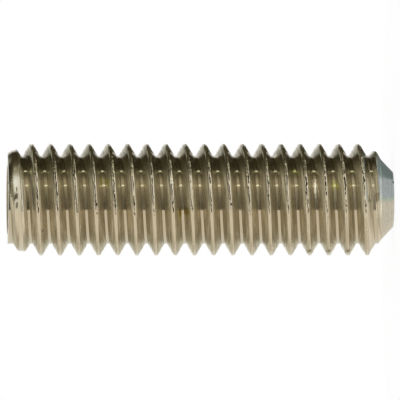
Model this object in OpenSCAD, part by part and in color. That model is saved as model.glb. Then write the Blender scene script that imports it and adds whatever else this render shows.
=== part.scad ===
// Grub set screw, M6 x 1, 20 mm long: cup point, thread over the whole length, hexagon socket.
// The rim of the cup point stands on Z = 0 and the thread's axis runs up +Z to the socket end.

/* [Thread] */
// Diameter over the crests of the thread
thread_d = 5.82; // [5.8:0.01:6]
// Distance from one turn to the next along the axis
pitch = 1; // [0.95:0.05:1.1]
// Diameter at which the ridge and the groove are equally wide
pitch_d = 5.23; // [5.2:0.01:5.35]
// Angle between the two flanks of the groove
flank_angle = 60; // [58:1:60]
// Radius of the rounded bottom of the groove
root_radius = 0.1; // [0.07:0.01:0.14]
// Direction in which the middle of the groove passes the height of the point's rim
thread_turn = 233; // [0:1:359]

/* [Ends] */
// Length from the rim of the cup point to the socket end's face
screw_length = 20.1; // [16:0.1:30]
// Outer diameter of the cup point's rim
rim_d = 2.9; // [2.6:0.05:3.2]
// Width of the flat land on the rim
rim_land = 0.06; // [0.02:0.01:0.15]
// Angle of the point's outer cone to the axis
point_angle = 47; // [45:1:55]
// Full angle of the hollow in the cup point
cup_angle = 120; // [100:5:130]
// Diameter at which the lead taper meets the socket end's face
face_d = 4.86; // [4.7:0.02:5]
// Angle of the lead taper's side to the axis
lead_angle = 17.7; // [15:0.1:30]
// Width of the broken edge around the socket end's face
face_edge = 0.05; // [0.02:0.01:0.1]

/* [Socket] */
// Width of the hexagon across its flats
socket_af = 3.03; // [2.96:0.01:3.06]
// Depth of the hexagon from the socket end's face
socket_depth = 3.5; // [3:0.1:4.5]
// Diameter of the hole that is drilled before the hexagon is cut
pilot_d = 3.1; // [3.08:0.01:3.2]
// Depth of the drilled hole's straight wall from the socket end's face
pilot_depth = 4.3; // [4.1:0.1:5.5]
// Full angle of the drill's tip, and of the countersink at the mouth
drill_angle = 118; // [110:1:130]
// Clearance from the hexagon's corners to the edge of the countersink
mouth_clearance = 0.06; // [0.02:0.01:0.2]

/* [Hidden] */

thread_r = thread_d / 2;
pitch_r = pitch_d / 2;
half_flank = flank_angle / 2;
// where the flanks of one groove would meet, inside the round root
groove_apex_r = pitch_r - pitch / 4 / tan(half_flank);
// where the flanks of neighbouring grooves would meet, outside the crest
ridge_apex_r = pitch_r + pitch / 4 / tan(half_flank);
root_centre_r = groove_apex_r + root_radius / sin(half_flank);
// the groove is cut from halfway between the crest and the ridge's apex, so that its turns stay apart
cut_r = (thread_r + ridge_apex_r) / 2;
cut_half_width = (cut_r - groove_apex_r) * tan(half_flank);

// the groove is cut in short straight steps, from below the point to above the socket end
steps_per_turn = 36;
root_steps = 3;
run_past = 0.75;
cut_steps = ceil((screw_length / pitch + 2 * run_past) * steps_per_turn);

rim_r = rim_d / 2;
point_length = (thread_r - rim_r) / tan(point_angle);
cup_r = rim_r - rim_land;
cup_depth = cup_r / tan(cup_angle / 2);
face_r = face_d / 2;
lead_length = (thread_r - face_r) / tan(lead_angle);

socket_corner_r = socket_af / 2 / cos(30);
pilot_r = pilot_d / 2;
drill_tip = pilot_r / tan(drill_angle / 2);
mouth_r = socket_corner_r + mouth_clearance;
mouth_depth = mouth_r / tan(drill_angle / 2);

// how far a cut reaches past the face that it opens
cut_over = 1;
round_fn = 96;

// The groove's section as [radius, height], from the edge of one flank round the root to the other edge.
function groove_section() = concat(
    [[cut_r, -cut_half_width]],
    [for (i = [0 : root_steps])
        let (turn = (90 - half_flank) * (2 * i / root_steps - 1))
        [root_centre_r - root_radius * cos(turn), root_radius * sin(turn)]],
    [[cut_r, cut_half_width]]
);

// Right-hand groove: its section is swept up the axis as it turns.
module thread_groove() {
    section = groove_section();
    count = len(section);
    points = [for (step = [0 : cut_steps])
        let (turns = step / steps_per_turn - run_past, around = thread_turn + 360 * turns)
        for (p = section) [p.x * cos(around), p.x * sin(around), p.y + pitch * turns]];
    sides = [for (step = [0 : cut_steps - 1]) for (i = [0 : count - 1])
        let (a = step * count + i, b = step * count + (i + 1) % count)
        each [[a, a + count, b], [b, a + count, b + count]]];
    lower_end = [for (i = [0 : count - 1]) i];
    upper_end = [for (i = [count - 1 : -1 : 0]) cut_steps * count + i];
    polyhedron(points, concat([lower_end], sides, [upper_end]));
}

// Turned blank: outer cone of the point, body, lead taper and face of the socket end.
module blank() {
    rotate_extrude($fn = round_fn)
        polygon([
            [0, 0],
            [rim_r, 0],
            [thread_r, point_length],
            [thread_r, screw_length - lead_length - face_edge],
            [face_r, screw_length - face_edge],
            [face_r - face_edge, screw_length],
            [0, screw_length]
        ]);
}

// Hollow of the cup point.
module cup() {
    rotate_extrude($fn = round_fn)
        polygon([[0, -cut_over], [cup_r, -cut_over], [cup_r, 0], [0, cup_depth]]);
}

// Hexagon, the drilled hole behind it, and the countersink at its mouth, downwards from Z = 0.
module socket() {
    translate([0, 0, -socket_depth])
        cylinder(r = socket_corner_r, h = socket_depth + cut_over, $fn = 6);
    translate([0, 0, -pilot_depth])
        cylinder(r = pilot_r, h = pilot_depth + cut_over, $fn = round_fn);
    translate([0, 0, -pilot_depth - drill_tip])
        cylinder(r1 = 0, r2 = pilot_r, h = drill_tip, $fn = round_fn);
    rotate_extrude($fn = round_fn)
        polygon([[0, -mouth_depth], [mouth_r, 0], [mouth_r, cut_over], [0, cut_over]]);
}

module set_screw() {
    color("#b5a98c")
        difference() {
            blank();
            thread_groove();
            cup();
            translate([0, 0, screw_length]) socket();
        }
}

set_screw();
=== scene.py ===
import bmesh
import bpy
import math
from mathutils import Matrix, Vector, noise


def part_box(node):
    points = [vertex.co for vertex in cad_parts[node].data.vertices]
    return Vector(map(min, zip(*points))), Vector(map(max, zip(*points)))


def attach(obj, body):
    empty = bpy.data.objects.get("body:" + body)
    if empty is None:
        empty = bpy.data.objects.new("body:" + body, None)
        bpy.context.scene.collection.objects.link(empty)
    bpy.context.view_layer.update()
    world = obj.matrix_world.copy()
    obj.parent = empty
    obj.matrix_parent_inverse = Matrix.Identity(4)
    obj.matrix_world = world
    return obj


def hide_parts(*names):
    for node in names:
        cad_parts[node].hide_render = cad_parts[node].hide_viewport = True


# A grub set screw that stands on its cup point. Lengths are in millimetres until they reach Blender.
metresPerMm = 0.001

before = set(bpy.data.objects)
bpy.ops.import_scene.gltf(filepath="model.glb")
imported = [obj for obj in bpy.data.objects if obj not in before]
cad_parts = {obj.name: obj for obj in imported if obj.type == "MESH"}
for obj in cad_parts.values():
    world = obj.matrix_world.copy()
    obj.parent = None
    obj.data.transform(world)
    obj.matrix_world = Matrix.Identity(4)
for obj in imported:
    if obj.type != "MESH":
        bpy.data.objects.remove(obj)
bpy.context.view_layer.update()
screwLow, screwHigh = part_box("set_screw")
screwLength = (screwHigh.z - screwLow.z) / metresPerMm
crestRadius = (screwHigh.x - screwLow.x) / metresPerMm / 2
print("frame loaded: screw", round(screwLength, 2), "mm long,", round(crestRadius * 2, 2), "mm across")


def linearColour(hexText):
    # sRGB hex to the linear colour that shaders work in
    parts = [int(hexText[i:i + 2], 16) / 255 for i in (1, 3, 5)]
    return [v / 12.92 if v <= 0.04045 else ((v + 0.055) / 1.055) ** 2.4 for v in parts] + [1.0]


def addNode(tree, kind, settings=None, links=None):
    # settings are properties or input values, and links are input: (node, output)
    node = tree.nodes.new(kind)
    for name, value in (settings or {}).items():
        if isinstance(name, str) and hasattr(node, name):
            setattr(node, name, value)
        else:
            node.inputs[name].default_value = value
    for name, (source, output) in (links or {}).items():
        tree.links.new(source.outputs[output], node.inputs[name])
    return node


def newMaterial(name):
    material = bpy.data.materials.new(name)
    material.use_nodes = True
    material.node_tree.nodes.clear()
    return material, material.node_tree


def newObject(name, mesh, material=None):
    data = bpy.data.meshes.new(name)
    mesh.to_mesh(data)
    mesh.free()
    made = bpy.data.objects.new(name, data)
    bpy.context.scene.collection.objects.link(made)
    if material:
        data.materials.append(material)
    return made


def slope(degrees):
    return math.tan(math.radians(degrees))


def smoothStep(low, high, value):
    t = min(max((value - low) / (high - low), 0.0), 1.0)
    return t * t * (3 - 2 * t)


def softMin(a, b, blend):
    # the smaller of two heights, rounded off where they cross
    h = max(blend - abs(a - b), 0.0) / blend
    return min(a, b) - h * h * blend / 4


view = {
    "distance": 741.0,         # far off with a long lens, so there is hardly any perspective
    "raised": 2.3,             # degrees from square-on, towards the socket end
    "widthShown": 20.84,       # what the picture's width takes in at the screw's axis
    "aimAlong": -0.016,        # the screw lies this far off the picture's middle
    "aimAcross": -0.016,
    "sensorWidth": 36,
    "clip": (0.05, 5),
}


def placeCamera():
    tilt = math.radians(view["raised"])
    forward = Vector((0, math.cos(tilt), -math.sin(tilt)))
    right = Vector((0, -math.sin(tilt), -math.cos(tilt)))     # turned so that the socket end is on the left
    up = right.cross(forward)
    aim = (screwLow + screwHigh) / 2
    aim += (right * view["aimAlong"] + up * view["aimAcross"]) * metresPerMm
    lens = bpy.data.cameras.new("camera")
    lens.sensor_width = view["sensorWidth"]
    lens.lens = lens.sensor_width * view["distance"] / view["widthShown"]
    lens.clip_start, lens.clip_end = view["clip"]
    camera = bpy.data.objects.new("camera", lens)
    turned = Matrix((right, up, -forward)).transposed().to_4x4()
    camera.matrix_world = Matrix.Translation(aim - forward * view["distance"] * metresPerMm) @ turned
    bpy.context.scene.collection.objects.link(camera)
    bpy.context.scene.camera = camera


placeCamera()
print("camera placed")

screw = {
    "pitch": 1.0,
    "pitchDiameter": 5.225,
    "halfFlank": 30.0,
    "rootDiameter": 4.596,
    "grooveTurn": 233.0,       # the way the groove faces at the height of the rim
    "rimDiameter": 2.86,
    "rimLand": 0.06,
    "pointAngle": 46.0,
    "shoulderHeight": 0.64,    # the point's cone is steeper above this
    "shoulderAngle": 61.0,
    "lastCrestRadius": 2.53,   # the part thread over the point was never rolled full
    "lastCrestHeight": 1.12,
    "lastCrestAngle": 70.0,
    "cupAngle": 120.0,
    "faceDiameter": 4.82,
    "faceRing": 2.1,           # points round the flat face, between its edge and the socket
    "leadIn": [                # depth behind the face, and radius there
        (0.07, 2.475), (0.22, 2.575), (0.40, 2.62), (0.58, 2.67),
        (0.96, 2.70), (1.12, 2.87), (1.3, 2.93), (2.0, 3.07),
    ],
    "thinLip": (0.30, 0.50),   # the lip before the face is gone at the first width, and whole at the second
    "socketAcrossFlats": 3.03,
    "socketDepth": 3.5,
    "pilotDiameter": 3.1,
    "pilotDepth": 4.3,
    "drillAngle": 118.0,
    "mouthClearance": 0.06,
    "upperLip": 0.036,         # the rolled crest's upper lip and its seam, from the crest's middle
    "seam": -0.030,
    "seamDepth": 0.016,
    "narrowestLap": 0.022,
    "steepestLap": 0.27,       # a steeper one would mirror the floor and not the dark of the room
    "shallowestLap": 0.004,
    "deepLapsTo": (25, 50),    # half as deep again up to here along the thread, fading by the second length
    "upperFall": 0.50,         # how steeply the crest drops off outside the upper lip
    "lowerRise": 0.22,         # and climbs again from the seam to the lower lip
    "flankRound": 0.13,        # the flanks round over towards the crest along this much, and drop by
    "flankDrop": 0.013,
    "mostCrestDrop": 0.08,
    "rootBlend": 0.002,        # how far the corners are rounded where two outlines cross
    "crestBlend": 0.006,
    "pointBlend": 0.12,
    "blankBlend": 0.015,
    "lowerRows": (0.055, 0.0),                # rows of points beside the crest's two edges, from each edge
    "upperRows": (-0.012, 0.012, 0.06),
    "columns": 372,            # points round one turn, a multiple of six for the hexagon's corners
    "wallRows": (0.1, 0.4, 0.7, 1.0),
    "cupRows": (1, 0.66, 0.33),
    "endGap": 0.006,           # no row of points lies closer than this to an end plane
    "crispAngle": 35,          # turned edges sharper than this stay crisp
    "pointTop": 3.0,           # no part of the point's cone lies over this height
    "onPointWithin": 0.01,
}
pitch = screw["pitch"]
grooveApex = screw["pitchDiameter"] / 2 - pitch / 4 / slope(screw["halfFlank"])
rootLevel = screw["rootDiameter"] / 2
rootHalf = (rootLevel - grooveApex) * slope(screw["halfFlank"])
crestHalf = pitch / 2 - (crestRadius - grooveApex) * slope(screw["halfFlank"])
rimRadius = screw["rimDiameter"] / 2
faceRadius = screw["faceDiameter"] / 2


def turnsAbove(angle, height):
    # turns counted from the groove's start: whole at a groove's middle, and a half at a crest's
    return height / pitch - (angle - screw["grooveTurn"]) / 360


def alongThread(turn, angle):
    return (turn + (angle - screw["grooveTurn"]) / 360) * 2 * math.pi * crestRadius


def unevenness(along, scale, seed):
    # smooth noise from about -1 to 1 that changes over a length of scale
    return noise.noise(Vector((along / scale, seed * 7.31, seed * 3.17)))


def crestLines(along):
    # the dies fold the metal into two lips: the upper laps over the lower, along a ragged seam
    # each uneven term is a size times noise, over a length along the thread
    wander = 0.04 * unevenness(along, 0.8, 1) + 0.03 * unevenness(along, 0.25, 2)
    upper = screw["upperLip"] + 0.5 * wander + 0.035 * unevenness(along, 0.11, 6)
    seam = min(screw["seam"] + wander + 0.06 * unevenness(along, 0.1, 5), upper - screw["narrowestLap"])
    depth = screw["seamDepth"] * (1 + 0.7 * unevenness(along, 0.4, 3) + 0.8 * unevenness(along, 0.11, 4))
    depth *= 1.5 - 0.5 * smoothStep(*screw["deepLapsTo"], along)
    return upper, seam, max(min(depth, screw["steepestLap"] * (upper - seam)), screw["shallowestLap"])


def crestHeight(across, along):
    upper, seam, depth = crestLines(along)
    if across > upper:
        drop = (across - upper) * screw["upperFall"]
    elif across > seam:
        drop = depth * (upper - across) / (upper - seam)
    else:
        drop = max(depth - (seam - across) * screw["lowerRise"], 0.002)
    return crestRadius - min(drop, screw["mostCrestDrop"])


burrs = {
    "startsAt": (1.9, 2.2),    # heights at which they grow to full size, and fade
    "endsAt": (4.5, 4.9),
    "angle": 196,
    "reach": 15,               # degrees to each side
    "size": 0.08,
    "onFlank": (0.28, 0.42),   # from the groove's middle, where they start and are full
}


def burrAt(angle, height):
    # a few crests near the point are pushed over on one side, with a ragged edge
    near = smoothStep(*burrs["startsAt"], height) * (1 - smoothStep(*burrs["endsAt"], height))
    reach = max(1 - abs(angle - burrs["angle"]) / burrs["reach"], 0)
    return burrs["size"] * near * reach * max(1 + 1.6 * unevenness(angle, 4, 9), 0)


def threadRadius(angle, height):
    turns = turnsAbove(angle, height)
    away = abs(turns - math.floor(turns + 0.5)) * pitch           # from the groove's middle
    across = (turns - math.floor(turns) - 0.5) * pitch            # from the crest's middle
    rounded = max(1 - (pitch / 2 - crestHalf - away) / screw["flankRound"], 0)
    flank = grooveApex + away / slope(screw["halfFlank"]) - screw["flankDrop"] * rounded ** 2
    flank = -softMin(-flank, -rootLevel, screw["rootBlend"])
    if across > 0:
        flank += burrAt(angle, height) * smoothStep(*burrs["onFlank"], away)
    crest = crestHeight(across, alongThread(math.floor(turns), angle))
    return softMin(flank, crest, screw["crestBlend"])


def leadRadius(fromFace):
    # the outline behind the socket end's face: a rounded edge, almost a cylinder, a step and a cone
    points = [(0.0, faceRadius)] + screw["leadIn"]
    for (a, low), (b, high) in zip(points, points[1:]):
        if fromFace < b:
            return low + (high - low) * (fromFace - a) / (b - a)
    return crestRadius + 1


def blankRadius(height):
    # the turned outline that the thread runs out into at both ends
    point = rimRadius + height * slope(screw["pointAngle"])
    aboveShoulder = height - screw["shoulderHeight"]
    shoulder = point + aboveShoulder * (slope(screw["shoulderAngle"]) - slope(screw["pointAngle"]))
    aboveCrest = max(height - screw["lastCrestHeight"], 0)
    lastCrest = screw["lastCrestRadius"] + aboveCrest * slope(screw["lastCrestAngle"])
    fromPoint = softMin(max(point, shoulder), lastCrest, screw["pointBlend"])
    return min(fromPoint, leadRadius(screwLength - height))


def outerRadius(angle, height):
    radius = threadRadius(angle, height)
    # the thin lip left between the last groove and the socket end's face is rolled flat
    turns = turnsAbove(angle, height)
    lipWidth = screwLength - height + (turns - math.floor(turns)) * pitch
    if lipWidth < screw["thinLip"][1]:
        radius = rootLevel + (radius - rootLevel) * smoothStep(*screw["thinLip"], lipWidth)
    return softMin(radius, blankRadius(height), screw["blankBlend"])


def sectionRows(along):
    # offsets from one groove's middle up to the next, at the corners of the section
    upper, seam, depth = crestLines(along)
    fall = 1 / slope(screw["halfFlank"]) - 2 * screw["flankDrop"] / screw["flankRound"]
    start = crestHalf * fall - screw["flankDrop"]
    upperEdge = (start - upper * screw["upperFall"]) / (fall - screw["upperFall"])
    lowerEdge = (start + depth - seam * screw["lowerRise"]) / (fall + screw["lowerRise"])
    half = pitch / 2
    rounded = screw["flankRound"]
    below = [half - lowerEdge - away for away in (rounded, *screw["lowerRows"])]
    above = [half + upperEdge + away for away in (*screw["upperRows"], rounded)]
    return [0.0, rootHalf] + below + [half + seam, half + upper] + above + [pitch - rootHalf]


crispRows = (1, 4, 5, 6, 11)   # the corners that stay sharp: the root's, the lips' and the seam
lapRows = {5, 6}               # the lap lies between the seam and the upper lip


# one closed skin, with each face marked for the surface that it belongs to
surfaces = ["thread", "point", "socketEnd", "socket"]
skin = bmesh.new()
rowOf = {}                     # each thread point's place in its section
angleOf = skin.verts.layers.float.new("angle")
placeOnThread = skin.loops.layers.float_vector.new("threadPlace")     # across, along, and turns of the angle
# how much painted shade each face in a crest's lap takes
paintedShadeOnFace = skin.faces.layers.float.new("lapPaintedShade")
columns = screw["columns"]
angles = [360 * c / columns for c in range(columns)]


def addPoint(angle, radius, height):
    turn = math.radians(angle)
    vert = skin.verts.new(Vector((radius * math.cos(turn), radius * math.sin(turn), height)) * metresPerMm
                          + Vector((0, 0, screwLow.z)))
    vert[angleOf] = angle
    return vert


def addRing(radius, height):
    # radius and height are each a number or a function of the angle
    return [addPoint(a, radius(a) if callable(radius) else radius, height(a) if callable(height) else height)
            for a in angles]


def heightOf(vert):
    return (vert.co.z - screwLow.z) / metresPerMm


def addFace(verts, surface, turn=0, lastColumn=False):
    kept = list(dict.fromkeys(verts))
    if len(kept) < 3:
        return
    face = skin.faces.new(kept)
    face.material_index = surfaces.index(surface)
    for loop in face.loops:
        angle = loop.vert[angleOf]
        if lastColumn and angle == 0:
            angle = 360.0
        across = (turnsAbove(angle, heightOf(loop.vert)) - turn) * pitch
        loop[placeOnThread] = (across, alongThread(turn, angle), angle / 360)


def addBand(outer, inner, surface):
    for c in range(columns):
        d = (c + 1) % columns
        addFace([outer[c], outer[d], inner[d], inner[c]], surface, 0, d == 0)


def addCap(ring, tip, surface):
    for c in range(columns):
        addFace([ring[c], ring[(c + 1) % columns], tip], surface)


def onPoint(vert):
    height = heightOf(vert)
    radius = Vector(vert.co.xy).length / metresPerMm
    return height < screw["pointTop"] and radius > blankRadius(height) - screw["onPointWithin"]


def addThread(bottom, top):
    count = len(sectionRows(0))
    gap = screw["endGap"]
    grid = []
    for angle in angles:
        start = (angle - screw["grooveTurn"]) / 360 * pitch
        points = {}
        for turn in range(-1, int(screwLength / pitch) + 2):
            for i, offset in enumerate(sectionRows(alongThread(turn, angle))):
                height = start + turn * pitch + offset
                if gap < height < screwLength - gap:
                    vert = addPoint(angle, outerRadius(angle, height), height)
                    rowOf[vert] = i
                    points[turn * count + i] = vert
        grid.append(points)
    for c in range(columns):
        d = (c + 1) % columns
        last = d == 0
        left = grid[c]
        right = {k - (count if last else 0): v for k, v in grid[d].items()}    # once round is one turn up
        shared = sorted(set(left) & set(right))
        for k in shared[:-1]:
            surface = "point" if onPoint(left[k]) and onPoint(right[k + 1]) else "thread"
            addFace([left[k], right[k], right[k + 1], left[k + 1]], surface, k // count, last)
        low, high = shared[0], shared[-1]
        below = [left[k] for k in sorted(left) if k <= low]
        below += [right[k] for k in sorted(right, reverse=True) if k <= low]
        addFace(below + [bottom[d], bottom[c]], "point", low // count, last)
        above = [right[k] for k in sorted(right) if k >= high] + [top[d], top[c]]
        above += [left[k] for k in sorted(left, reverse=True) if k >= high]
        addFace(above, "thread", high // count, last)


def addSocketEnd(top):
    cornerRadius = screw["socketAcrossFlats"] / 2 / math.cos(math.radians(30))
    mouthRadius = cornerRadius + screw["mouthClearance"]
    pilotRadius = screw["pilotDiameter"] / 2
    pilotEdge = pilotRadius * 0.9999     # a hair inside the hexagon's wall, so that no two points meet
    drillSlope = slope(screw["drillAngle"] / 2)
    floorHeight = screwLength - screw["socketDepth"]
    pilotFloor = screwLength - screw["pilotDepth"]

    def wallRadius(angle):
        flat = screw["socketAcrossFlats"] / 2 / math.cos(math.radians(angle % 60 - 30))
        return max(flat, pilotRadius)

    def mouthHeight(angle):
        return screwLength - (mouthRadius - wallRadius(angle)) / drillSlope

    rings = [(top, "socketEnd"), (addRing(screw["faceRing"], screwLength), "socketEnd"),
             (addRing(mouthRadius, screwLength), "socket"), (addRing(wallRadius, mouthHeight), "socket")]
    for share in screw["wallRows"]:
        height = screwLength - screw["socketDepth"] * share
        rings.append((addRing(wallRadius, height), "socket"))
    rings += [(addRing(pilotEdge, floorHeight), "socket"),
              (addRing(pilotEdge, pilotFloor), "socket"),
              (addRing(pilotRadius / 2, pilotFloor - pilotRadius / 2 / drillSlope), "socket")]
    for (outer, surface), (inner, _) in zip(rings, rings[1:]):
        addBand(outer, inner, surface)
    addCap(rings[-1][0], addPoint(0, 0, pilotFloor - pilotRadius / drillSlope), "socket")


def addCup(bottom):
    cupRadius = rimRadius - screw["rimLand"]
    cupSlope = slope(screw["cupAngle"] / 2)
    rings = [bottom]
    for share in screw["cupRows"]:
        rings.append(addRing(cupRadius * share, cupRadius * (1 - share) / cupSlope))
    for outer, inner in zip(rings, rings[1:]):
        addBand(outer, inner, "point")
    addCap(rings[-1], addPoint(0, 0, cupRadius / cupSlope), "point")


# painted shade: a dark colour laid into the laps of the first crests over the point, on one side, for the
# dark of their seams
paintedLapShade = {
    "fadesAt": (4.5, 8.0),     # heights
    "from": (-15, -10),        # angles from -Y towards +X
    "to": (25, 50),
    "colour": "#2B271D",
    "rough": 0.4,
}


def paintedShadeInLap(place):
    # painted shade: the lap of the first crests over the point is coloured dark on one side, standing in for
    # the shade in its seam
    height = (place.z - screwLow.z) / metresPerMm
    side = math.degrees(math.atan2(place.x, -place.y))
    share = (1 - smoothStep(*paintedLapShade["fadesAt"], height)) * smoothStep(*paintedLapShade["from"], side)
    share *= 1 - smoothStep(*paintedLapShade["to"], side)
    return share * min(max(0.9 + 1.5 * unevenness(side, 3, 10), 0), 1)


def buildScrew():
    bottom = addRing(lambda a: outerRadius(a, 0), 0)
    top = addRing(lambda a: outerRadius(a, screwLength), screwLength)
    addThread(bottom, top)
    addSocketEnd(top)
    addCup(bottom)
    bmesh.ops.recalc_face_normals(skin, faces=skin.faces)
    for edge in skin.edges:
        turned = any(f.material_index > 0 for f in edge.link_faces)
        row, otherRow = (rowOf.get(vert) for vert in edge.verts)
        crisp = row == otherRow and row in crispRows
        edge.smooth = not (crisp or turned and edge.calc_face_angle(0) > math.radians(screw["crispAngle"]))
    for face in skin.faces:
        face.smooth = True
        # the lap's faces get the painted shade
        if {rowOf.get(vert) for vert in face.verts} == lapRows:
            face[paintedShadeOnFace] = paintedShadeInLap(face.calc_center_median())
    triangles = sum(len(face.verts) - 2 for face in skin.faces)
    print("screw skin built:", len(skin.faces), "faces,", triangles, "triangles")
    return newObject("setScrew", skin)


setScrew = buildScrew()
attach(setScrew, "root")
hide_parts("set_screw")

rolled = {
    "crest": "#D3CBBA",        # burnished by the dies
    "root": "#C8C0AF",
    "flank": "#DAD4C5",
    "dragLines": "#B7B1A1",
    "crestEdge": (0.075, 0.09),    # from the crest's middle, where its burnish ends and where the root begins
    "rootEdge": (0.42, 0.435),
    "rootRoughness": 0.09,
    "dullRootRoughness": 0.13,
    "flankRoughness": 0.10,
    "scratchedRoughness": 0.22,    # where the flanks were dragged dull
    "crestRoughness": 0.09,
    "lineDepth": 0.02,         # the drag lines' full depth, and the share of it on each surface
    "flankLines": 0.22,
    "smoothLines": 0.05,
    "crestLines": 0.28,
    "streakWidth": 0.07,       # drag lines from the dies, coarser than the real 0.01 mm so that they show
    "streakLength": 2.5,
    "grain": 0.09,             # the pitted skin between them, also drawn coarser
    "grainShare": 0.5,
    "patches": 1.2,            # how far apart the duller patches lie
}

# wear, stains and dirt: at is height, angle from -Y towards +X, and radius;
# reach is round the screw and along it, and turned tilts it in degrees
threadMarks = [
    # the worn silver patch behind the socket end's face, and the pits in it
    {"at": (19.75, 21, 2.60), "reach": (0.62, 0.19), "colour": "#DDDED6", "rough": 0.16},
    {"at": (19.69, 0, 2.60), "reach": (0.40, 0.15), "turned": 8, "colour": "#DAD6CB", "rough": 0.20},
    {"at": (19.69, 12, 2.59), "reach": (0.16, 0.045), "colour": "#6A6252", "rough": 0.4},
    {"at": (19.73, 4, 2.60), "reach": (0.26, 0.15), "turned": 6, "colour": "#5A5346", "rough": 0.4},
    {"at": (19.68, -6, 2.62), "reach": (0.26, 0.07), "turned": 3, "colour": "#6A6252", "rough": 0.4},
    # white specks and smears on crests and in grooves
    {"at": (11.65, 17.9, 2.88), "reach": (0.14, 0.12), "colour": "#FFFDF2", "rough": 0.3},
    {"at": (4.16, 15, 2.35), "reach": (0.62, 0.07), "colour": "#FFFDF2", "rough": 0.3},
    {"at": (10.76, 42, 2.60), "reach": (0.09, 0.08), "colour": "#FFFDF2", "rough": 0.5},
    {"at": (16.85, 32, 2.62), "reach": (0.36, 0.045), "turned": -8, "colour": "#F4F0E2", "rough": 0.35},
    # the oil stain, a light tint on one flank and darker beside the root, and three paler ones
    {"at": (11.22, -20, 2.45), "reach": (0.42, 0.11), "colour": "#C6C28E", "rough": 0.16},
    {"at": (11.17, -16, 2.33), "reach": (0.30, 0.09), "colour": "#9A8748", "rough": 0.16},
    {"at": (15.27, 25, 2.50), "reach": (0.38, 0.10), "colour": "#C9CB84", "rough": 0.16},
    {"at": (3.20, 20, 2.40), "reach": (0.40, 0.10), "colour": "#C9CB84", "rough": 0.16},
    {"at": (5.24, 40, 2.40), "reach": (0.30, 0.10), "colour": "#C9CB84", "rough": 0.16},
    # specks of rust
    {"at": (18.33, -36, 2.70), "reach": (0.08, 0.06), "colour": "#6B4A30", "rough": 0.4},
    {"at": (10.85, -36, 2.70), "reach": (0.09, 0.06), "colour": "#6B4A30", "rough": 0.4},
    {"at": (17.33, -8, 2.55), "reach": (0.08, 0.05), "colour": "#B0806C", "rough": 0.3},
    # grime in the burred crests near the point
    {"at": (2.40, -67, 2.85), "reach": (0.30, 0.15), "colour": "#8A816B", "rough": 0.4},
    {"at": (3.40, -67, 2.85), "reach": (0.30, 0.15), "colour": "#8A816B", "rough": 0.4},
    {"at": (4.40, -67, 2.85), "reach": (0.30, 0.15), "colour": "#8A816B", "rough": 0.4},
]
faceMarks = [
    # scuffs along the face's edge
    {"at": (20.10, 3, 2.43), "reach": (0.45, 0.06), "colour": "#A89F90", "rough": 0.2},
    {"at": (20.10, -17, 2.43), "reach": (0.33, 0.06), "colour": "#FFFFFF", "rough": 0.5},
    {"at": (20.10, -40, 2.43), "reach": (0.36, 0.06), "colour": "#5A5348", "rough": 0.3},
]
pointMarks = [
    # painted highlight: light flecks where the thread starts over the cone, standing in for a burr catching
    # the light, and a nick at the rim
    {"at": (0.72, 42, 2.24), "reach": (0.50, 0.07), "colour": "#F4F2E8", "rough": 0.4},
    {"at": (0.74, 24, 2.27), "reach": (0.50, 0.07), "colour": "#F4F2E8", "rough": 0.4},
    {"at": (0.74, 6, 2.27), "reach": (0.50, 0.08), "colour": "#F4F2E8", "rough": 0.4},
    {"at": (0.73, -12, 2.26), "reach": (0.50, 0.06), "colour": "#F4F2E8", "rough": 0.4},
    {"at": (0.05, 38, 1.48), "reach": (0.10, 0.07), "colour": "#3A3A38", "rough": 0.4},
]
markEdge = {
    "scale": 16.0,             # ragged over a sixteenth of a millimetre
    "raggedness": 2.6,
    "solidTo": 1.7,            # full inside the first level and gone past the second
    "goneAt": 2.3,
    "depth": 0.4,              # how far a mark goes into and out of the surface
}


def addMarks(tree, marks, colour, rough):
    # each mark is a ragged oval on the surface, with a colour and a roughness of its own
    place = addNode(tree, "ShaderNodeTexCoord")
    inMm = addNode(tree, "ShaderNodeVectorMath", {"operation": "SCALE", "Scale": 1 / metresPerMm},
                   {0: (place, "Object")})
    ragged = addNode(tree, "ShaderNodeTexNoise",
                     {"Scale": markEdge["scale"], "Detail": 3.0, "Roughness": 0.7}, {"Vector": (inMm, 0)})
    for mark in marks:
        height, angle, radius = mark["at"]
        side = math.radians(angle)
        centre = (radius * math.sin(side), -radius * math.cos(side), height + screwLow.z / metresPerMm)
        around, along = mark["reach"]
        fromMark = addNode(tree, "ShaderNodeMapping",
                           {"vector_type": "TEXTURE", "Location": centre,
                            "Rotation": (0, math.radians(mark.get("turned", 0)), side),
                            "Scale": (around, markEdge["depth"], along)}, {"Vector": (inMm, 0)})
        distance = addNode(tree, "ShaderNodeVectorMath", {"operation": "LENGTH"}, {0: (fromMark, 0)})
        edge = addNode(tree, "ShaderNodeMath", {"operation": "MULTIPLY_ADD", 1: markEdge["raggedness"]},
                       {0: (ragged, "Fac"), 2: (distance, "Value")})
        share = addNode(tree, "ShaderNodeMapRange",
                        {"From Min": markEdge["solidTo"], "From Max": markEdge["goneAt"],
                         "To Min": 1.0, "To Max": 0.0}, {"Value": (edge, 0)})
        colour = (addNode(tree, "ShaderNodeMix", {"data_type": "RGBA", 7: linearColour(mark["colour"])},
                          {0: (share, 0), 6: colour}), 2)
        rough = (addNode(tree, "ShaderNodeMix", {3: mark["rough"]}, {0: (share, 0), 2: rough}), 0)
    return colour, rough


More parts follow.
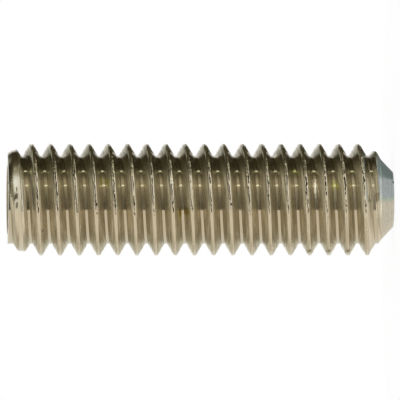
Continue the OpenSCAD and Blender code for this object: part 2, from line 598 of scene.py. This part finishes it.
def rolledStainless():
    # stainless steel, thread rolled cold: bright like a worn mirror, with fine drag lines along the thread
    material, tree = newMaterial("rolledStainlessSteel")
    place = addNode(tree, "ShaderNodeAttribute", {"attribute_name": "threadPlace"})
    parts = addNode(tree, "ShaderNodeSeparateXYZ", links={0: (place, "Vector")})
    perStreak = (1 / rolled["streakWidth"], 1 / rolled["streakLength"], 0)
    stretched = addNode(tree, "ShaderNodeVectorMath", {"operation": "MULTIPLY", 1: perStreak},
                        {0: (place, "Vector")})
    streaks = addNode(tree, "ShaderNodeTexNoise", {"Scale": 1.0, "Detail": 3.0, "Roughness": 0.6},
                      {"Vector": (stretched, 0)})
    finely = addNode(tree, "ShaderNodeVectorMath", {"operation": "SCALE", "Scale": 1 / rolled["grain"]},
                     {0: (place, "Vector")})
    grain = addNode(tree, "ShaderNodeTexNoise", {"Scale": 1.0, "Detail": 2.0}, {"Vector": (finely, 0)})
    coarsely = addNode(tree, "ShaderNodeVectorMath", {"operation": "SCALE", "Scale": 1 / rolled["patches"]},
                       {0: (place, "Vector")})
    patches = addNode(tree, "ShaderNodeTexNoise", {"Scale": 1.0, "Detail": 1.0}, {"Vector": (coarsely, 0)})

    # where the crest and the root are, across the thread
    fromCrest = addNode(tree, "ShaderNodeMath", {"operation": "SUBTRACT", 1: 0.5}, {0: (parts, "X")})
    fromCrest = addNode(tree, "ShaderNodeMath", {"operation": "ABSOLUTE"}, {0: (fromCrest, 0)})
    burnished, bare = rolled["crestEdge"]
    crest = addNode(tree, "ShaderNodeMapRange",
                    {"From Min": burnished, "From Max": bare, "To Min": 1.0, "To Max": 0.0},
                    {"Value": (fromCrest, 0)})
    flankEnd, rootStart = rolled["rootEdge"]
    root = addNode(tree, "ShaderNodeMapRange", {"From Min": flankEnd, "From Max": rootStart},
                   {"Value": (fromCrest, 0)})

    # roughness: the flanks are dulled by the drag lines, and the root in patches
    dragged = addNode(tree, "ShaderNodeMapRange",
                      {"From Min": 0.42, "From Max": 0.56, "To Min": rolled["flankRoughness"],
                       "To Max": rolled["scratchedRoughness"]}, {"Value": (streaks, "Fac")})
    rough = addNode(tree, "ShaderNodeMix", {3: rolled["crestRoughness"]}, {0: (crest, 0), 2: (dragged, 0)})
    rootRough = addNode(tree, "ShaderNodeMapRange",
                        {"From Min": 0.50, "From Max": 0.62, "To Min": rolled["rootRoughness"],
                         "To Max": rolled["dullRootRoughness"]}, {"Value": (patches, "Fac")})
    rough = addNode(tree, "ShaderNodeMix", links={0: (root, 0), 2: (rough, 0), 3: (rootRough, 0)})

    # colour: drag lines on the flanks, then the crest and the root
    lines = addNode(tree, "ShaderNodeMapRange", {"From Min": 0.42, "From Max": 0.60},
                    {"Value": (streaks, "Fac")})
    colour = addNode(tree, "ShaderNodeMix",
                     {"data_type": "RGBA", 6: linearColour(rolled["flank"]),
                      7: linearColour(rolled["dragLines"])}, {0: (lines, 0)})
    for surface, share in (("crest", crest), ("root", root)):
        colour = addNode(tree, "ShaderNodeMix", {"data_type": "RGBA", 7: linearColour(rolled[surface])},
                         {0: (share, 0), 6: (colour, 2)})

    # the drag lines' depth on each surface
    depth = addNode(tree, "ShaderNodeMix", {2: rolled["flankLines"], 3: rolled["crestLines"]},
                    {0: (crest, 0)})
    depth = addNode(tree, "ShaderNodeMix", {3: rolled["smoothLines"]}, {0: (root, 0), 2: (depth, 0)})
    height = addNode(tree, "ShaderNodeMath", {"operation": "MULTIPLY_ADD", 1: rolled["grainShare"]},
                     {0: (grain, "Fac"), 2: (streaks, "Fac")})
    bump = addNode(tree, "ShaderNodeBump", {"Distance": rolled["lineDepth"] * metresPerMm},
                   {"Height": (height, 0), "Strength": (depth, 0)})

    # painted shade in the laps near the point, then the marks over all of it
    lap = addNode(tree, "ShaderNodeAttribute", {"attribute_name": "lapPaintedShade"})
    colour = addNode(tree, "ShaderNodeMix", {"data_type": "RGBA", 7: linearColour(paintedLapShade["colour"])},
                     {0: (lap, "Fac"), 6: (colour, 2)})
    rough = addNode(tree, "ShaderNodeMix", {3: paintedLapShade["rough"]}, {0: (lap, "Fac"), 2: (rough, 0)})
    colour, rough = addMarks(tree, threadMarks, (colour, 2), (rough, 0))
    shader = addNode(tree, "ShaderNodeBsdfPrincipled", {"Metallic": 1.0},
                     {"Base Color": colour, "Roughness": rough, "Normal": (bump, 0)})
    addNode(tree, "ShaderNodeOutputMaterial", links={"Surface": (shader, 0)})
    return material


turnedFinish = {
    "ringsPerMm": 9.0,         # tool rings, drawn coarser than the real 0.05 mm feed so that they show
    "ringDepth": 0.01,
    "ringStrength": 0.25,
    "mottlePerMm": 6.0,
    "roughnessSpread": 0.3,    # how far the roughness goes to each side of its middle
}


def turnedStainless(name, bright, dull, roughness, marks=()):
    # the same steel cut with a tool: fine rings round the axis, duller than the rolled thread
    material, tree = newMaterial(name)
    place = addNode(tree, "ShaderNodeTexCoord")
    inMm = addNode(tree, "ShaderNodeVectorMath", {"operation": "SCALE", "Scale": 1 / metresPerMm},
                   {0: (place, "Object")})
    parts = addNode(tree, "ShaderNodeSeparateXYZ", links={0: (inMm, 0)})
    flatPlace = addNode(tree, "ShaderNodeCombineXYZ", links={"X": (parts, "X"), "Y": (parts, "Y")})
    fromAxis = addNode(tree, "ShaderNodeVectorMath", {"operation": "LENGTH"}, {0: (flatPlace, 0)})
    ringPlace = addNode(tree, "ShaderNodeMath", {"operation": "ADD"},
                        {0: (fromAxis, "Value"), 1: (parts, "Z")})
    rings = addNode(tree, "ShaderNodeTexNoise",
                    {"noise_dimensions": "1D", "Scale": turnedFinish["ringsPerMm"], "Detail": 3.0},
                    {"W": (ringPlace, 0)})
    spread = turnedFinish["roughnessSpread"]
    rough = addNode(tree, "ShaderNodeMapRange",
                    {"To Min": roughness * (1 - spread), "To Max": roughness * (1 + spread)},
                    {"Value": (rings, "Fac")})
    bump = addNode(tree, "ShaderNodeBump",
                   {"Strength": turnedFinish["ringStrength"],
                    "Distance": turnedFinish["ringDepth"] * metresPerMm},
                   {"Height": (rings, "Fac")})
    mottle = addNode(tree, "ShaderNodeTexNoise", {"Scale": turnedFinish["mottlePerMm"], "Detail": 2.0},
                     {"Vector": (inMm, 0)})
    both = addNode(tree, "ShaderNodeMath", {"operation": "ADD"}, {0: (rings, "Fac"), 1: (mottle, "Fac")})
    worn = addNode(tree, "ShaderNodeMapRange", {"From Min": 0.75, "From Max": 1.25}, {"Value": (both, 0)})
    colour = addNode(tree, "ShaderNodeMix",
                     {"data_type": "RGBA", 6: linearColour(bright), 7: linearColour(dull)}, {0: (worn, 0)})
    colour, rough = addMarks(tree, marks, (colour, 2), (rough, 0))
    shader = addNode(tree, "ShaderNodeBsdfPrincipled", {"Metallic": 1.0},
                     {"Base Color": colour, "Roughness": rough, "Normal": (bump, 0)})
    addNode(tree, "ShaderNodeOutputMaterial", links={"Surface": (shader, 0)})
    return material


# in the order of surfaces
for made in (rolledStainless(),
             turnedStainless("turnedStainlessPoint", "#CFCFC7", "#B9B9B1", 0.3, pointMarks),
             turnedStainless("turnedStainlessFace", "#E2D8CE", "#D6CCC2", 0.10, faceMarks),
             turnedStainless("broachedStainlessSocket", "#BFB6A3", "#B1A895", 0.35)):
    setScrew.data.materials.append(made)
print("materials made")

studio = {
    "floorRadius": 12.0,
    "floorSides": 96,
    "floorColour": "#F8F7F4",
    "floorGap": 0.002,         # so that the floor and the point's rim don't share a plane
    "plainShare": 0.92,        # how much of the floor is plain white; the rest takes the screw's shadow
    "cardDistance": 1050.0,
    "cardStep": 3.0,           # degrees from one row of a card's points to the next
    "cardRises": (-78, 88),    # how far down and up the two big cards reach
    "paperBearings": (-186, -27),
    "roomBearings": (-27, 174),
    "stripsNearer": 20.0,      # the bright strips stand this far in front of the other cards
    "stripRises": (-20, 20),
    "groundCardHeight": 0.02,
    "groundRadii": (1.46, 2.0, 2.5, 3.5, 5.0, 8.0, 10.0),
    "groundStep": 2,
}
# two bright strips, which make a dot each in every groove
strips = [
    {"name": "stripLampNear", "bearings": (36.2, 39.0), "colour": "#FFFFE6", "strength": 1.8},
    {"name": "stripLampFar", "bearings": (78.5, 81.5), "colour": "#FAFFDC", "strength": 1.5},
]


def paleFloor():
    # matt card, shown as bright as the white background and darker only in the screw's own shadow
    material, tree = newMaterial("paleCardFloor")
    path = addNode(tree, "ShaderNodeLightPath")
    seen = addNode(tree, "ShaderNodeMath", {"operation": "ADD"},
                   {0: (path, "Is Camera Ray"), 1: (path, "Is Glossy Ray")})
    seen = addNode(tree, "ShaderNodeMath", {"operation": "ADD", "use_clamp": True},
                   {0: (seen, 0), 1: (path, "Is Transmission Ray")})
    share = addNode(tree, "ShaderNodeMath", {"operation": "MULTIPLY", 1: studio["plainShare"]},
                    {0: (seen, 0)})
    board = addNode(tree, "ShaderNodeBsdfDiffuse", {"Color": linearColour(studio["floorColour"])})
    white = addNode(tree, "ShaderNodeEmission", {"Color": (1, 1, 1, 1), "Strength": 1.0})
    mixed = addNode(tree, "ShaderNodeMixShader", links={0: (share, 0), 1: (board, 0), 2: (white, 0)})
    addNode(tree, "ShaderNodeOutputMaterial", links={"Surface": (mixed, 0)})
    mesh = bmesh.new()
    bmesh.ops.create_circle(mesh, cap_ends=True, segments=studio["floorSides"],
                            radius=studio["floorRadius"] * metresPerMm)
    floor = newObject("floor", mesh, material)
    floor.location.z = screwLow.z - studio["floorGap"] * metresPerMm


def whiteWorld():
    world = bpy.data.worlds.new("whiteStudio")
    bpy.context.scene.world = world
    world.use_nodes = True
    world.node_tree.nodes.clear()
    shade = addNode(world.node_tree, "ShaderNodeBackground", {"Color": (1, 1, 1, 1), "Strength": 1.0})
    addNode(world.node_tree, "ShaderNodeOutputWorld", links={"Surface": (shade, 0)})


def between(stops, value):
    # the colour at a value, from stops of (value, hex)
    for (a, first), (b, second) in zip(stops, stops[1:]):
        if value <= b:
            t = min(max((value - a) / (b - a), 0.0), 1.0)
            return [x + (y - x) * t for x, y in zip(linearColour(first), linearColour(second))]
    return linearColour(stops[-1][1])


def blend(first, second, share):
    return [x + (y - x) * share for x, y in zip(first, second)]


def glowMaterial(name, strength):
    material, tree = newMaterial(name)
    shade = addNode(tree, "ShaderNodeAttribute", {"attribute_name": "glow"})
    light = addNode(tree, "ShaderNodeEmission", {"Strength": strength}, {"Color": (shade, "Color")})
    addNode(tree, "ShaderNodeOutputMaterial", links={"Surface": (light, 0)})
    return material


def addGlowCard(name, grid, strength=1.0):
    # a glowing sheet through rows of (place, colour), seen only in the metal
    mesh = bmesh.new()
    glow = mesh.loops.layers.float_color.new("glow")
    rows = [[(mesh.verts.new(place), colour) for place, colour in row] for row in grid]
    for row, nextRow in zip(rows, rows[1:]):
        for i in range(len(row) - 1):
            corners = [row[i], nextRow[i], nextRow[i + 1], row[i + 1]]
            face = mesh.faces.new([vert for vert, _ in corners])
            for loop, (_, colour) in zip(face.loops, corners):
                loop[glow] = colour
    card = newObject(name, mesh, glowMaterial(name, strength))
    card.visible_camera = False
    card.visible_diffuse = False
    card.visible_shadow = False


def addCard(name, bearings, rises, colourAt, strength=1.0, nearer=0.0):
    # a card on a sphere round the screw
    middle = (screwLow.z + screwHigh.z) / 2
    distance = (studio["cardDistance"] - nearer) * metresPerMm
    across = max(round((bearings[1] - bearings[0]) / studio["cardStep"]), 1)
    along = max(round((rises[1] - rises[0]) / studio["cardStep"]), 1)
    grid = []
    for i in range(across + 1):
        bearing = bearings[0] + (bearings[1] - bearings[0]) * i / across
        row = []
        for j in range(along + 1):
            rise = rises[0] + (rises[1] - rises[0]) * j / along
            b, r = math.radians(bearing), math.radians(rise)
            place = Vector((math.sin(b) * math.cos(r), -math.cos(b) * math.cos(r), math.sin(r))) * distance
            row.append((place + Vector((0, 0, middle)), colourAt(bearing, rise)))
        grid.append(row)
    addGlowCard(name, grid, strength)


# The colours round the screw, by bearing: -Y is 0, +X is 90 and -X is -90. Rise is the angle over level.
# a warm white card on the -X side
paper = [(-186, "#FFFFFF"), (-166, "#F4F4EC"), (-150, "#ECEBE0"), (-128, "#F3F0E5"), (-110, "#F7F0E3"),
         (-90, "#F4EBDA"), (-27, "#F2E8D5")]
# the dim room on the +X side, level with the screw
room = [(-27, "#4A4530"), (-10, "#544E3A"), (8, "#706A52"), (20, "#8A8267"), (30, "#A89F81"), (50, "#B4AB8B"),
        (62, "#79715A"), (72, "#554D38"), (90, "#433D2C"), (120, "#383322"), (174, "#383322")]
# its walls just over and under that level
walls = [(-27, "#EEEADA"), (0, "#F4F0E2"), (15, "#FFFCF0"), (50, "#FFFCF0"), (65, "#BCB8A2"), (80, "#8C8672"),
         (92, "#5E5846"), (110, "#433E2E"), (174, "#383322")]
# the walls high up
high = [(-27, "#E6E2D2"), (35, "#F2EEDE"), (60, "#E4E0CC"), (75, "#8E8973"), (92, "#4E4A3A"),
        (112, "#383322"), (174, "#383322")]
# the ceiling
overhead = [(-27, "#9A937E"), (60, "#948D78"), (78, "#8A836E"), (95, "#544E3E"), (115, "#383322"),
            (174, "#383322")]
# the bench round the screw, and the part of it close under the point
ground = [(-27, "#F2F0E2"), (55, "#F2F0E2"), (75, "#B9B5A2"), (95, "#7E7A69"), (115, "#57533F"),
          (180, "#57533F")]
underPoint = [(-180, "#F4EADA"), (-5, "#F4EADA"), (-1, "#DBE1D2"), (3, "#CCD9D2"), (8, "#C6CDD4"),
              (42, "#C6CDD4"), (50, "#808E8F"), (180, "#808E8F")]
shades = {
    "paperShade": "#CFC8B4",   # the white card's far side, over and under level
    "paperSide": "#DDD5C2",    # the bench on the white card's side
    "dark": "#1C1A15",         # the dark beyond the point
    "behindHigh": "#A9AC98",
    "behind": "#FFFFFF",
    "behindRaised": "#DCDCD2",
}
# the angles over level, or under it where it says so, at which one part of the room gives way to the next
levels = {
    "middle": -1.4,            # of the dim band
    "walls": (2.2, 5.8),       # to each side of that
    "high": (30, 40),
    "ceiling": (58, 64),
    "darkUnder": (17, 24),
    "benchUnder": 34,          # nearer to level past the bearing of benchTurn
    "benchBlur": 6,
    "benchTurn": 55,
    "behindHigh": (22, 40),    # the wall high up behind the screw, by rise and by bearing
    "behindHighFrom": (118, 138),
    "behindRaised": (6, 16),
    "behindFrom": (-5, -2),    # where the white behind the screw begins and where it ends, going up
    "behindTo": (6, 48),
    "behindLeansTo": 40,
}


def paperColour(bearing, rise):
    colour = between(paper, bearing)
    shaded = smoothStep(70, 115, -bearing) * smoothStep(6, 18, abs(rise))
    return blend(colour, linearColour(shades["paperShade"]), shaded)


def groundColour(bearing):
    if bearing < studio["roomBearings"][0]:
        return linearColour(shades["paperSide"])
    return between(ground, bearing)


def roomColour(bearing, rise):
    # dim level with the screw, lighter walls over and under that, dark beyond the point, white behind
    onWalls = smoothStep(*levels["walls"], abs(rise - levels["middle"]))
    colour = blend(between(room, bearing), between(walls, bearing), onWalls)
    colour = blend(colour, between(high, bearing), smoothStep(*levels["high"], rise))
    colour = blend(colour, between(overhead, bearing), smoothStep(*levels["ceiling"], rise))
    colour = blend(colour, linearColour(shades["dark"]), smoothStep(*levels["darkUnder"], -rise))
    bench = levels["benchUnder"] - 0.36 * max(bearing - levels["benchTurn"], 0)
    colour = blend(colour, groundColour(bearing), smoothStep(bench, bench + levels["benchBlur"], -rise))
    behindHigh = smoothStep(*levels["behindHigh"], rise) * smoothStep(*levels["behindHighFrom"], bearing)
    colour = blend(colour, linearColour(shades["behindHigh"]), behindHigh)
    raised = smoothStep(*levels["behindRaised"], rise)
    white = blend(linearColour(shades["behind"]), linearColour(shades["behindRaised"]), raised)
    up = min(max(rise, 0), levels["behindLeansTo"])
    behind = smoothStep(138 + 0.6 * up, 156 + 0.3 * up, bearing)     # its edge leans back as it rises
    behind *= smoothStep(*levels["behindFrom"], rise) * (1 - smoothStep(*levels["behindTo"], rise))
    return blend(colour, white, behind)


def addGroundCard(name, bearings):
    # a card close over the floor, for the light from beyond the point
    steps = round((bearings[1] - bearings[0]) / studio["groundStep"])
    turns = [bearings[0] + (bearings[1] - bearings[0]) * i / steps for i in range(steps + 1)]
    height = screwLow.z + studio["groundCardHeight"] * metresPerMm
    grid = []
    for radius in studio["groundRadii"] + (studio["floorRadius"],):
        far = smoothStep(2.3, 4.0, radius)     # from the colours under the point to the bench's
        dimRing = 0.5 * smoothStep(3.5, 4.5, radius) * (1 - smoothStep(6.5, 8.5, radius))
        row = []
        for b in turns:
            colour = blend(between(underPoint, b), groundColour(b), far)
            colour = blend(colour, linearColour(shades["dark"]), dimRing * smoothStep(85, 105, b))
            place = Vector((math.sin(math.radians(b)), -math.cos(math.radians(b)), 0)) * radius * metresPerMm
            row.append((place + Vector((0, 0, height)), colour))
        grid.append(row)
    addGlowCard(name, grid)


def lightStudio():
    addCard("paperCard", studio["paperBearings"], studio["cardRises"], paperColour)
    addCard("roomCard", studio["roomBearings"], studio["cardRises"], roomColour)
    for strip in strips:
        colour = linearColour(strip["colour"])
        addCard(strip["name"], strip["bearings"], studio["stripRises"], lambda bearing, rise: colour,
                strip["strength"], studio["stripsNearer"])
    # the bench's two sides meet where the white card ends
    edge = studio["roomBearings"][0]
    addGroundCard("dimGroundCard", (edge + 0.1, 180))
    addGroundCard("paperGroundCard", (-180, edge))


paleFloor()
whiteWorld()
lightStudio()
bpy.context.scene.view_settings.view_transform = "Standard"
print("floor, background and cards made")
